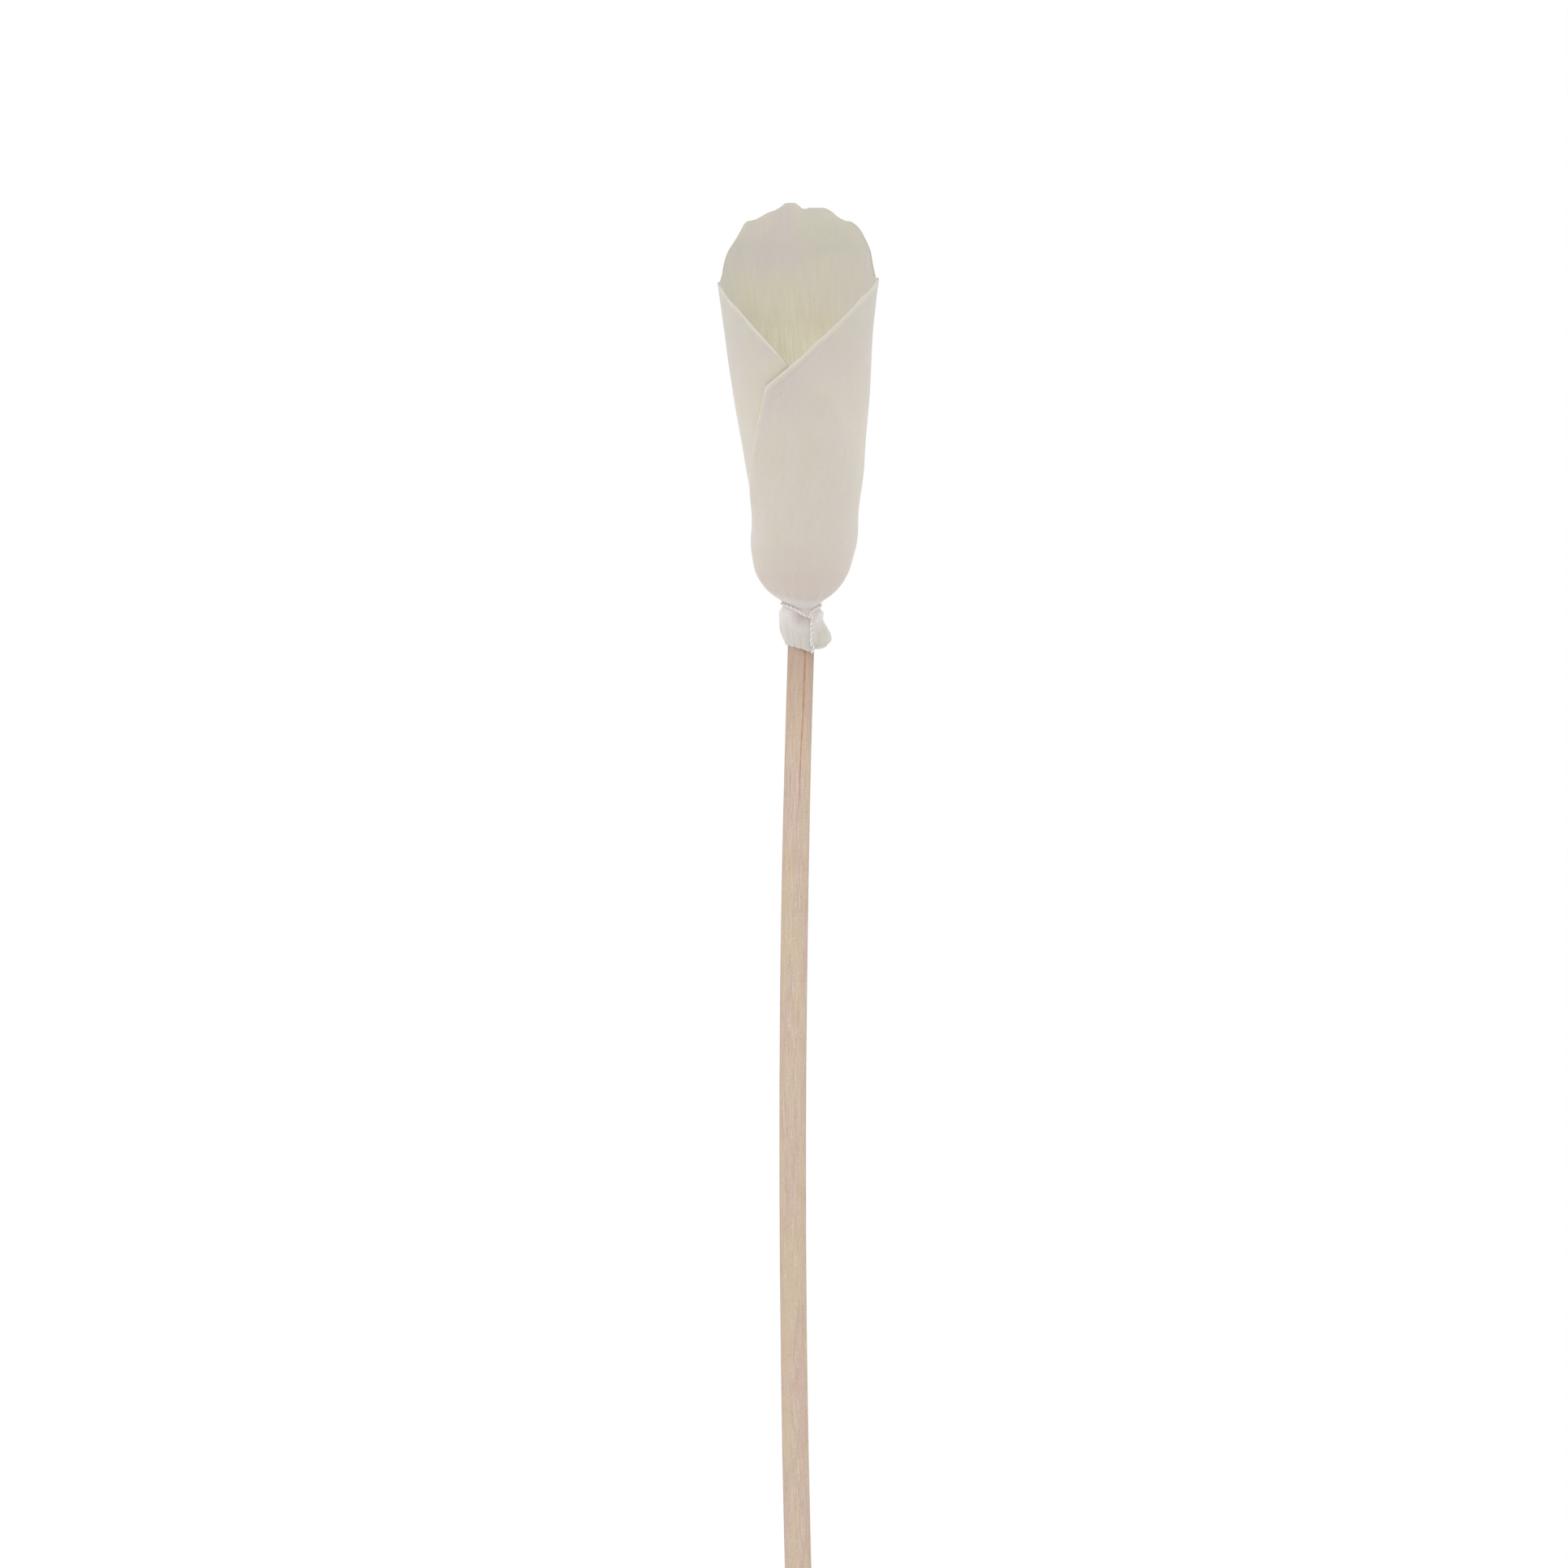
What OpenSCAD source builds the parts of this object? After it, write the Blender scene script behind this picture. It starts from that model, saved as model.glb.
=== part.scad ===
// Calla lily rolled from one thin pith sheet, tied with twisted thread round a rattan reed.
// Z = 0 is the reed's foot, +Z runs up to the flower, and the flower's mouth faces -Y.
// Angles round the flower are counted from its back, +Y, towards +X, so 180 is the front.

/* [Reed] */
// Diameter of the rattan reed
stem_d = 5; // [4:0.5:6]
// Height of the whole object, foot to crest
total_h = 300; // [280:5:360]
// Radius of the reed's natural bow
bow_r = 2900; // [2500:100:3100]
// Angle through which each half of the bow bends
bow_a = 1.8; // [1:0.01:1.9]

/* [Flower] */
// Height of the flower from the tie to the crest of the rim
flower_h = 74.4; // [65:0.1:85]
// Thickness of the pith sheet
sheet_t = 0.5; // [0.4:0.1:0.8]
// Half the width of the flat sheet before it is rolled
half_w = 45.3; // [40:0.1:48]
// How far the reed's tip stands up inside the flower
tip_h = 12; // [6:1:20]

/* [Tie] */
// Diameter of the two-ply thread
thread_d = 0.55; // [0.4:0.05:0.7]
// Turns of thread side by side round the neck
turns = 1; // [1:1:2]
// Length of sheet left below the tie
skirt_h = 8; // [6:0.5:10]

/* [Hidden] */

// Reed
end_r = 300;           // the short bends that bring the bow back upright at both ends
bow_top = 3.6;         // the bow ends this far below the tie
bow_side = (bow_r + end_r) * (1 - cos(bow_a));
bow_half_h = (bow_r + end_r) * sin(bow_a);
taper = 0.02;          // each stretch of reed is this much thinner than the one below it
lap = 0.5;             // length that one stretch runs into the next

// Flower outline, by height h above the tie
tie_z = total_h - flower_h;
cone_foot_r = 8.2;     // radius that the cone's straight wall would have at the tie
cone_slope = 0.1165;   // gain in radius per mm of height
bulb_h = 7.5;          // height over which the round foot opens from the neck to the cone
bulb_power = 2.6;
belly = 0.45;          // swelling low on the cone
belly_h = 12;
belly_w = 4;
lean = 0.7;            // the cone sways this far to one side and back
lean_period = 80;

// Layers of the roll
roll_gap = 0.1;        // air between two layers in the cup
neck_t = 0.3;          // the sheet is pressed thinner under the thread
neck_gap = 0.03;
stem_gap = 0.02;
gather_h = 9;          // below this the sheet is gathered in pleats and stops turning

// Flat cut of the sheet's top edge: distance from the middle, height above the tie
cut = [[0, 74.4], [8.5, 72.3], [12.6, 70.1], [15.2, 67.3], [17.2, 63.7], [19.8, 61.3],
       [23.2, 59.8], [28.6, 57.1], [33.8, 51.5], [39.3, 44.4], [45.3, 40.3]];
cut_w = 45.3;          // half width that the list above is drawn for

// Skirt below the tie
band_h = 1.1;          // the neck stays narrow for this far below the tie
skirt_swell = 0.5;
lobe_out = 1.9;        // a lobe of the skirt stands out to the front right
lobe_a = 105;
lobe_w = 38;

// Tie
winding_h = -0.5;      // middle of the winding at the sides and the back
pinch_a = 162;
pinch_dip = 1.5;       // the neck sags by this much at the front
pinch_w = 60;
knot_a = 152;
knot_pull = 1.4;       // the knot draws the thread down by this much more
knot_w = 46;
knot_d = 1.4;
thread_gap = 0.03;
tail = [[1.8, -3.4, -3.3], [1.9, -3.8, -4.4], [2, -4, -5.6], [2.1, -4.1, -7.1],
        [2.1, -4.1, -8.6], [2.2, -4.1, -9.8]];

// Grid of the sheet and of the thread
cols = 56;
rows = [5, 16, 12];    // rows of faces in the skirt, the round foot and the cup
foot_top_h = 18;       // where the round foot ends
ring_steps = 36;
tube_sides = 8;

function clamp(x, low, high) = min(max(x, low), high);
function bell(x, middle, width) = exp(-pow((x - middle) / width, 2));

// Height of the flat sheet's top edge at distance u from its middle
function edge_h(u, i = 0) =
    i >= len(cut) - 2 || u <= cut[i + 1][0]
        ? cut[i][1] + (cut[i + 1][1] - cut[i][1]) * (u - cut[i][0]) / (cut[i + 1][0] - cut[i][0])
        : edge_h(u, i + 1);
function rim_h(share) = edge_h(abs(share) * cut_w) + flower_h - cut[0][1];

// Share of the cup's thickness and gap that is left at height h; 0 at the neck
function loose(h) = clamp(h / 6, 0, 1);
function sheet_t_at(h) = neck_t + (sheet_t - neck_t) * loose(h);
function pitch(h) = sheet_t_at(h) + neck_gap + (roll_gap - neck_gap) * loose(h);

// Radius of the sheet's middle surface at height h, before the roll's spiral
gather_turn = half_w / (cone_foot_r + cone_slope * gather_h) * 180 / PI;
neck_r = stem_d / 2 + stem_gap + neck_t / 2 + pitch(0) * gather_turn / 360;
function cone_r(h) = cone_foot_r + cone_slope * h - sheet_t / 2;
function cup_r(h) = neck_r + (cone_r(h) - neck_r) * (1 - pow(1 - clamp(h / bulb_h, 0, 1), bulb_power))
    + belly * bell(h, belly_h, belly_w) * clamp(h, 0, 1);
function pull(a) = knot_pull * bell(a, knot_a, knot_w);
function skirt_share(a, h) = clamp((-h - band_h - pull(a)) / (skirt_h - band_h - pull(a)), 0, 1);
function skirt_r(a, h) = neck_r + skirt_swell * sin(180 * skirt_share(a, h))
    + lobe_out * bell(a, lobe_a, lobe_w) * sin(90 * skirt_share(a, h));
function sheet_r(a, h) = (h > 0 ? cup_r(h) : skirt_r(a - 360 * floor(a / 360), h)) + pitch(h) * a / 360;

// The tie sags at the front, and the foot of the flower follows it
function dip(a) = pinch_dip * bell(a - 360 * floor(a / 360), pinch_a, pinch_w);
function sheet_z(a, h) = tie_z + h - dip(a) * clamp(1 - h / gather_h, 0, 1);

// How far round each half of the sheet reaches at height h
function turn(h) = half_w / (cone_foot_r + cone_slope * max(h, gather_h)) * 180 / PI;
function sway(h) = h > 0 ? lean * sin(360 * h / lean_period) : 0;

// Point of the sheet at angle a and height h, on its outer face for side 1 and its inner one for -1
function sheet_point(a, h, side) =
    let (r = sheet_r(a, h) + side * sheet_t_at(h) / 2)
    [r * sin(a) + sway(h), r * cos(a), sheet_z(a, h)];

// Heights of the rows of one column, foot to rim
function skirt_foot(share) = dip(share * turn(0)) - skirt_h - 0.4 * sin(share * turn(0));
function row_heights(share) = [
    for (k = [0:rows[0] - 1]) skirt_foot(share) * (1 - k / rows[0]) - band_h * k / rows[0],
    for (k = [0:rows[1] - 1]) -band_h + (foot_top_h + band_h) * k / rows[1],
    for (k = [0:rows[2]]) foot_top_h + (rim_h(share) - foot_top_h) * k / rows[2]];

module stem() {
    head_h = tie_z - bow_top;
    foot_h = head_h - 2 * bow_half_h;
    color("burlywood") {
        cylinder(d = stem_d, h = foot_h, $fn = 64);
        bend([-end_r, foot_h], end_r, 0, bow_a, stem_d - taper);
        bend([bow_r - bow_side, foot_h + bow_half_h], bow_r, 180 - bow_a, 180 + bow_a, stem_d - 2 * taper);
        bend([-end_r, head_h], end_r, -bow_a, 0, stem_d - 3 * taper);
        translate([0, 0, head_h - lap])
            cylinder(d = stem_d - 4 * taper, h = tie_z + tip_h - head_h + lap, $fn = 64);
    }
}

// A round bar bent about a centre in the XZ plane, with a lap at both ends
module bend(centre, radius, from, to, d) {
    more = lap / radius * 180 / PI;
    translate([centre[0], 0, centre[1]]) rotate([90, 0, 0]) rotate([0, 0, from - more])
        rotate_extrude(angle = to - from + 2 * more, $fn = 2880)
            translate([radius, 0]) circle(d = d, $fn = 64);
}

module spathe() {
    heights = [for (i = [0:cols]) row_heights(2 * i / cols - 1)];
    n = len(heights[0]);
    points = [for (side = [-1, 1], i = [0:cols], h = heights[i])
        sheet_point((2 * i / cols - 1) * turn(h), h, side)];
    back = (cols + 1) * n;
    color("ivory") polyhedron(points, concat(
        [for (i = [0:cols - 1], k = [0:n - 2], f = split(i * n + k, i * n + k + 1, (i + 1) * n + k + 1, (i + 1) * n + k)) f],
        [for (i = [0:cols - 1], k = [0:n - 2], f = split(back + (i + 1) * n + k, back + (i + 1) * n + k + 1,
            back + i * n + k + 1, back + i * n + k)) f],
        [for (k = [0:n - 2], f = split(k, back + k, back + k + 1, k + 1)) f],
        [for (k = [0:n - 2], f = split(cols * n + k + 1, back + cols * n + k + 1, back + cols * n + k, cols * n + k)) f],
        [for (i = [0:cols - 1], f = split(i * n, (i + 1) * n, back + (i + 1) * n, back + i * n)) f],
        [for (i = [1:cols], f = split(i * n - 1, back + i * n - 1, back + (i + 1) * n - 1, (i + 1) * n - 1)) f]));
}

function split(a, b, c, d) = [[a, b, c], [a, c, d]];

// A tube along a list of points, no stretch of which runs along up
function unit(v) = v / norm(v);
function ring(points, i, d, up) =
    let (last = len(points) - 1,
         along = unit(points[min(i + 1, last)] - points[max(i - 1, 0)]),
         across = unit(cross(up, along)),
         over = cross(along, across))
    [for (k = [0:tube_sides - 1])
        points[i] + d / 2 * (cos(360 * k / tube_sides) * across + sin(360 * k / tube_sides) * over)];

module tube(points, d, up) {
    m = tube_sides;
    last = len(points) - 1;
    polyhedron([for (i = [0:last], p = ring(points, i, d, up)) p], concat(
        [[for (k = [0:m - 1]) k]],
        [for (i = [0:last - 1], k = [0:m - 1])
            each split(i * m + k, (i + 1) * m + k, (i + 1) * m + (k + 1) % m, i * m + (k + 1) % m)],
        [[for (k = [0:m - 1]) last * m + m - 1 - k]]));
}

// The thread goes round the neck from the knot and back to it
neck_out_r = neck_r + pitch(0) * gather_turn / 360 + neck_t / 2;
winding_r = neck_out_r + thread_gap + thread_d / 2;
winding_pitch = thread_d + thread_gap;
function winding_point(k) =
    let (a = knot_a + 360 * k / ring_steps,
         h = winding_h + winding_pitch * (k / ring_steps - turns / 2),
         from_end = min(k, turns * ring_steps - k) * 360 / ring_steps)
    [winding_r * sin(a), winding_r * cos(a), tie_z + h - dip(a) - knot_pull * bell(from_end, 0, 30)];

module thread_winding() {
    color("white")
        tube([for (k = [0:turns * ring_steps]) winding_point(k)], thread_d, [0, 0, 1]);
}

module thread_knot() {
    color("white") translate([tail[0][0], tail[0][1], tie_z + tail[0][2]]) sphere(d = knot_d, $fn = 32);
}

module thread_tail() {
    color("white")
        tube([for (p = tail) p + [0, 0, tie_z]], thread_d, [0, 1, 0]);
}

stem();
spathe();
thread_winding();
thread_knot();
thread_tail();
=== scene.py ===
"""Calla lily rolled from one pith sheet, tied with a twisted thread round a rattan reed.

Lengths inside the shape functions are in millimetres, as in the CAD model; meshes are made in metres.
Angles round the flower are counted from its back, +Y, towards +X, so that 180 is the front.
"""
import math

import bpy
import numpy as np
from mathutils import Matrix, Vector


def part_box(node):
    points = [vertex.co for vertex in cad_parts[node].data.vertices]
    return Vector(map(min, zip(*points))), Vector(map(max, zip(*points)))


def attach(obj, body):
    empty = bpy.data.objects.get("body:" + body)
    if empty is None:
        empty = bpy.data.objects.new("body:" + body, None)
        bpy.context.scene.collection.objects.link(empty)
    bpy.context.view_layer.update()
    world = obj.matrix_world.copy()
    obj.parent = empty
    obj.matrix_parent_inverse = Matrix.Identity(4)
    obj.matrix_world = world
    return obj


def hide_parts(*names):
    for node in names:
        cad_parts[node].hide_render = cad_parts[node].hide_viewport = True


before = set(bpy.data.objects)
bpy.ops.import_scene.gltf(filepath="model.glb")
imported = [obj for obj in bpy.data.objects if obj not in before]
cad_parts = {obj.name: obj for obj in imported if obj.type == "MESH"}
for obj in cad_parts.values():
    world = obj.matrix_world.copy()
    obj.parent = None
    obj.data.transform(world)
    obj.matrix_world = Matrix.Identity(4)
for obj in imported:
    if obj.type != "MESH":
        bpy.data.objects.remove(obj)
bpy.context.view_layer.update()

MM = 0.001

# ---------------------------------------------------------------- sizes taken from the CAD model

reed_low, reed_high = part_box("stem")
STEM_D = round((reed_high.y - reed_low.y) / MM, 1)
REED_TOP = round(reed_high.z / MM, 1)
TIP_H = 12.0             # how far the reed's tip stands above the tie, inside the flower
TIE_Z = REED_TOP - TIP_H

# ---------------------------------------------------------------- camera and light

VIEW_W = 292.7           # width of the picture at the object, in mm
VIEW_X = -3.2            # where the middle of the picture lies
VIEW_Z = 191.5
LENS, SENSOR = 1000.0, 36.0
NEAR, FAR = 0.01, 20
KEY_PLACE, KEY_AIM = (-0.25, -1.4, 0.5), (0, 0, 0.24)
KEY_SIZE, KEY_WATTS, KEY_COLOUR = 0.7, 2.2, (1.0, 0.99, 0.97)


def make_camera():
    data = bpy.data.cameras.new("camera")
    data.lens, data.sensor_width = LENS, SENSOR
    data.clip_start, data.clip_end = NEAR, FAR
    cam = bpy.data.objects.new("camera", data)
    bpy.context.scene.collection.objects.link(cam)
    away = VIEW_W * MM * LENS / SENSOR
    cam.location = (VIEW_X * MM, -away, VIEW_Z * MM)
    cam.rotation_euler = (math.radians(90), 0, 0)
    bpy.context.scene.camera = cam


def make_light(name, place, aim, size, watts, colour):
    data = bpy.data.lights.new(name, "AREA")
    data.shape, data.size, data.energy, data.color = "DISK", size, watts, colour
    lamp = bpy.data.objects.new(name, data)
    bpy.context.scene.collection.objects.link(lamp)
    lamp.location = place
    way = [a - p for a, p in zip(aim, place)]
    flat = math.hypot(way[0], way[1])
    lamp.rotation_euler = (math.atan2(flat, -way[2]), 0, math.atan2(-way[0], way[1]))
    lamp.visible_camera = False


def make_world():
    scene = bpy.context.scene
    scene.view_settings.view_transform = "Standard"
    world = bpy.data.worlds.new("studio")
    scene.world = world
    world.use_nodes = True
    back = world.node_tree.nodes["Background"]
    back.inputs["Color"].default_value = (1.0, 1.0, 1.0, 1)
    back.inputs["Strength"].default_value = 1.0


# ---------------------------------------------------------------- number helpers

def step(x, lo, hi):
    """A smooth rise from 0 at lo to 1 at hi."""
    t = np.clip((x - lo) / (hi - lo), 0, 1)
    return t * t * (3 - 2 * t)


def bell(x, middle, width):
    return np.exp(-(((x - middle) / width) ** 2))


def hump(x, shape):
    """A swelling given as its size, middle and width."""
    size, middle, width = shape
    return size * bell(x, middle, width)


def turn_from(a, middle):
    """Signed angle from middle to a, whichever layer of the roll a is on."""
    return (a - middle + 180) % 360 - 180


def near(a, middle, width):
    """1 at the angle middle, falling off over width degrees on both sides, on every layer of the roll."""
    return bell(turn_from(a, middle), 0, width)


def waves(seed, count, lo, hi):
    """A smooth random function of two lengths, with wave numbers from lo to hi and a size of about 1."""
    rng = np.random.default_rng(seed)
    k = rng.uniform(lo, hi, count)
    way = rng.uniform(0, 2 * math.pi, count)
    phase = rng.uniform(0, 2 * math.pi, count)

    def f(x, y):
        return sum(np.sin(kx * x + ky * y + p)
                   for kx, ky, p in zip(k * np.cos(way), k * np.sin(way), phase)) / math.sqrt(count / 2)
    return f


def ripples(seed, numbers):
    """A smooth random function of an angle that closes on itself, with a size of about 1."""
    rng = np.random.default_rng(seed)
    phase = rng.uniform(0, 2 * math.pi, len(numbers))
    size = rng.uniform(0.6, 1.2, len(numbers))

    def f(a):
        return sum(s * np.sin(n * np.radians(a) + p)
                   for n, s, p in zip(numbers, size, phase)) / math.sqrt(len(numbers) / 2)
    return f


# ---------------------------------------------------------------- mesh helpers

def make_mesh(name, points, faces, material, uv=None, values=None):
    """A smooth mesh in metres from points in mm. uv is one pair a point; values are named numbers a point."""
    me = bpy.data.meshes.new(name)
    me.from_pydata((np.asarray(points) * MM).tolist(), [], [list(map(int, f)) for f in faces])
    me.polygons.foreach_set("use_smooth", [True] * len(me.polygons))
    if uv is not None:
        layer = me.uv_layers.new(name=name + "_uv")
        corners = np.empty(len(me.loops), dtype=np.int32)
        me.loops.foreach_get("vertex_index", corners)
        layer.data.foreach_set("uv", np.asarray(uv, dtype=np.float32)[corners].ravel())
    for key, numbers in (values or {}).items():
        layer = me.attributes.new(key, "FLOAT", "POINT")
        layer.data.foreach_set("value", np.asarray(numbers, dtype=np.float32))
    me.update()
    ob = bpy.data.objects.new(name, me)
    bpy.context.scene.collection.objects.link(ob)
    me.materials.append(material)
    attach(ob, "root")
    return ob


def tube_faces(rows, cols, start=0):
    """Quads joining closed rings of cols points each, row after row."""
    faces = []
    for i in range(rows - 1):
        for k in range(cols):
            a, b = start + i * cols + k, start + i * cols + (k + 1) % cols
            faces.append((a, b, b + cols, a + cols))
    return faces


# ---------------------------------------------------------------- flower: the rolled sheet

SHEET_T, ROLL_GAP = 0.5, 0.1
NECK_T, NECK_GAP = 0.3, 0.03         # the sheet is pressed thinner under the thread
REED_GAP = 0.02
THIN_H = 6.0                         # it reaches its full thickness this far above the tie
CONE_FOOT_R, CONE_SLOPE = 8.2, 0.1165
BULB_H, BULB_POWER = 7.5, 2.6
GATHER_H = 9.0                       # below this, pleats take up the sheet's width
BAND_H = 0.85                        # the neck stays narrow for this far below the tie
HALF_W, OUTER_HALF_W = 45.3, 46.8    # flat widths of the inner half of the sheet and of the outermost
LEAN, LEAN_PERIOD = 0.7, 80.0        # the flower sways this far to one side and back

# Where the thread's tie is drawn down at the front
KNOT_A, KNOT_PULL = 154.0, 1.0
PINCH_A, PINCH_DIP, PINCH_W = 162.0, 1.5, 60.0

# Swellings up the sheet: size, height above the tie, width
BELLY = (0.45, 12, 4)
WAIST = (0.3, 5, 4)
HOLLOW = (0.22, 16, 5)
RIGHT_FLAT = (0.5, 31, 7)
LEFT_FLAT = (0.5, 14.5, 4)
FLAT_W = 32                          # how far round, in degrees, each flat reaches
NECK_PLEATS = (0.03, -0.5, 1.0)
BULB_PLEATS = (0.2, 1.9, 1.5)
DENT, FINE_DENT = 0.11, 0.022
GIRTH_R = 12.0                       # radius at which the dents' pattern is laid out

# Skirt below the tie
SKIRT_H = 7.2
SKIRT_SWELL = 0.62
SKIRT_SHOULDER = (0.4, -2.0, 0.9)
RIGHT_SHOULDER = (0.4, -1.7, 0.7)
LOBE_OUT = 2.4                       # the lobe at the front right stands out this far at its foot
LOBE_TUCK = 0.8                      # and its very edge turns in this far
INNER_FOOT_UP = 2.6                  # the inner layer ends this far above the outer one at the front left
LIP_OUT, LIP_W = 0.24, 2.6           # the mouth's front edges turn outwards
SIDE_OUT, SIDE_W = 0.08, 3.5         # and so does the outer half's side edge

# Top edge of the flat sheet, from its middle outwards: distance, height of the object there
OUTER_RIM = [(0, 299.4), (0.9, 299.0), (1.8, 299.3), (4.8, 299.3), (6.2, 298.7), (7.5, 297.6), (9.3, 296.8),
             (10.7, 296.7), (12.2, 295.8), (13.4, 294.8), (14.1, 293.9), (15.2, 292.7), (16.6, 291.1),
             (17.3, 289.5), (18.2, 288.1), (20.0, 286.1), (24, 286.0), (28, 285.4), (33.4, 282.3),
             (36.9, 278.0), (40.1, 274.2), (42.4, 270.8), (46.8, 265.6)]
INNER_RIM = [(0, 299.4), (0.6, 300.2), (2.8, 300.2), (3.6, 299.4), (4.7, 298.8), (6.0, 298.4), (7.4, 297.6),
             (8.7, 297.0), (10.6, 296.7), (11.3, 295.8), (11.9, 294.8), (12.6, 293.9), (13.8, 292.6),
             (15.4, 291.1), (16.5, 289.6), (17.5, 288.1), (18.2, 286.8), (20.3, 285.3), (24, 285.2),
             (28.2, 284.1), (33.3, 280.1), (35.8, 276.7), (37.9, 273.2), (39.7, 269.4), (41.8, 266.3),
             (45.3, 263.0)]
RIM_ROUNDING = 0.3

# Bottom edge of the sheet round the reed, angle and height: it hangs lowest at the front, beside the thread
FOOT = [(0, 217.5), (40, 217.7), (75, 217.7), (92, 217.3), (106, 216.95), (125, 216.75), (140, 216.5),
        (153, 216.15), (186, 216.8), (215, 217.1), (244, 217.4), (300, 217.7), (360, 217.5)]

# Points of the mesh: columns in each half of the sheet, and rows in the skirt, the cup's foot and the cup
COLUMNS = 170
SKIRT_ROWS, FOOT_ROWS, CUP_ROWS = 26, 52, 112
CUP_ROWS_FROM = 18.0


def smooth_list(pairs, width):
    """The list as a function, with its corners rounded over about width."""
    margin, fine = 3, 0.05
    x = np.arange(-margin, pairs[-1][0] + margin, fine)
    u, z = zip(*pairs)
    y = np.interp(np.abs(x), u, z)
    t = np.arange(-3 * width, 3 * width + 0.01, fine)
    w = np.exp(-((t / width) ** 2))
    y = np.convolve(np.pad(y, len(t) // 2, mode="edge"), w / w.sum(), mode="valid")[: len(x)]
    return lambda q: np.interp(q, x, y)


def sheet_t(h):
    return NECK_T + (SHEET_T - NECK_T) * np.clip(h / THIN_H, 0, 1)


def pitch(h):
    """Gain in radius from one layer of the roll to the next."""
    return sheet_t(h) + NECK_GAP + (ROLL_GAP - NECK_GAP) * np.clip(h / THIN_H, 0, 1)


NECK_TURN = math.degrees(HALF_W / (CONE_FOOT_R + CONE_SLOPE * GATHER_H))
NECK_R = STEM_D / 2 + REED_GAP + NECK_T / 2 + float(pitch(0)) * NECK_TURN / 360
NECK_OUT_R = NECK_R + float(pitch(0)) * NECK_TURN / 360 + NECK_T / 2
dents = waves(3, 9, 0.10, 0.32)
fine_dents = waves(5, 12, 0.5, 1.1)
neck_folds = ripples(7, [5, 9, 13, 17, 22])
skirt_folds = ripples(11, [2, 3, 5, 8])


def dip(a):
    """How far the tie sags at angle a; it is lowest near the front."""
    return PINCH_DIP * near(a, PINCH_A, PINCH_W)


def foot_z(a):
    """Height of the sheet's bottom edge at angle a."""
    angle, z = zip(*FOOT)
    around = np.asarray(a, dtype=float) % 360
    soft = sum(np.interp((around + d) % 360, angle, z) for d in (-9, -6, -3, 0, 3, 6, 9)) / 7
    return soft + 0.05 * np.sin(np.radians(around * 11)) + 0.12 * near(a, 181, 2.5)


def front_weight(a):
    """1 on the two front edges of the mouth and 0 round its back."""
    return step(np.abs(a), 72, 118)


def slit_weight(a, h):
    """1 in the small open pleat at the front of the skirt."""
    return near(a, 181.5 + 0.5 * (h + 6), 2.2) * step(-h, 4.4, 5.6)


def lip_free(a):
    """1 where an edge of the mouth is free to turn outwards, and 0 where the outer half covers it."""
    return np.where(a > 0, 1.0, 1 - step(-a, 156, 170))


def cup_radius(a, h):
    """Radius of the sheet above the tie, with the dents that all its layers share."""
    open_h = np.clip(h, 0, None)
    cone = CONE_FOOT_R + CONE_SLOPE * open_h - SHEET_T / 2
    grown = 1 - (1 - np.clip(open_h / BULB_H, 0, 1)) ** BULB_POWER
    r = NECK_R + (cone - NECK_R) * grown + hump(open_h, BELLY) * np.clip(open_h, 0, 1)
    r += pitch(h) * a / 360
    x, y = GIRTH_R * np.sin(np.radians(a)), GIRTH_R * np.cos(np.radians(a))
    loose = step(h, 4, 22)
    r += loose * DENT * (dents(x + 0.3 * y, open_h) + dents(y, open_h * 0.8 + 9))
    r += loose * FINE_DENT * fine_dents(x * 1.5 + y, open_h * 0.55)
    r -= hump(h, RIGHT_FLAT) * near(a, 90, FLAT_W) + hump(h, LEFT_FLAT) * near(a, 270, FLAT_W)
    return r - hump(h, WAIST) * step(h, 0, 1.5) - hump(h, HOLLOW)


def skirt_swelling(a, h, to_foot, fold):
    """How far the skirt stands out from the neck."""
    # it starts lower down at the front, where the thread is drawn to the knot
    late = 1.1 * near(a, KNOT_A + 6, 36)
    q = np.clip((-h - BAND_H - late) / (SKIRT_H - late), 0, 1.3)
    sides = near(a, 90, 40) + near(a, 270, 55)
    lobe = near(a, 104, 34) + 0.25 * near(a, 20, 40)
    out = sides * hump(h, SKIRT_SHOULDER) + near(a, 90, 35) * hump(h, RIGHT_SHOULDER)
    out += SKIRT_SWELL * np.sin(np.pi * np.clip(q * 1.06, 0, 1)) ** 0.8 * (1 + 0.25 * skirt_folds(a + 40))
    out += LOBE_OUT * lobe * step(-h, 1.6, SKIRT_H)
    out -= LOBE_TUCK * lobe * bell(to_foot, 0, 0.8) * (h < 0)
    out -= 0.5 * step(q, 0.5, 0.95) * (1 - lobe) * near(a, 235, 60)
    out += 0.1 * step(q, 0, 0.2) * fold
    return out - 0.16 * slit_weight(a, h)


def sheet_radius(a, h, to_rim, to_side, to_foot):
    """Radius of the sheet's middle surface. The last three are the distances from its edges."""
    fold = 0.5 + 0.5 * np.tanh(1.4 * neck_folds(a))
    r = cup_radius(a, h) + fold * (hump(h, NECK_PLEATS) + hump(h, BULB_PLEATS))
    r += skirt_swelling(a, h, to_foot, fold)
    r += LIP_OUT * (1 - step(to_rim, 0.0, LIP_W)) * step(np.abs(a), 95, 130) * lip_free(a)
    r += SIDE_OUT * (1 - step(to_side, 0, SIDE_W)) * step(h, 6, 20) * (a > 0)
    return r


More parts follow.
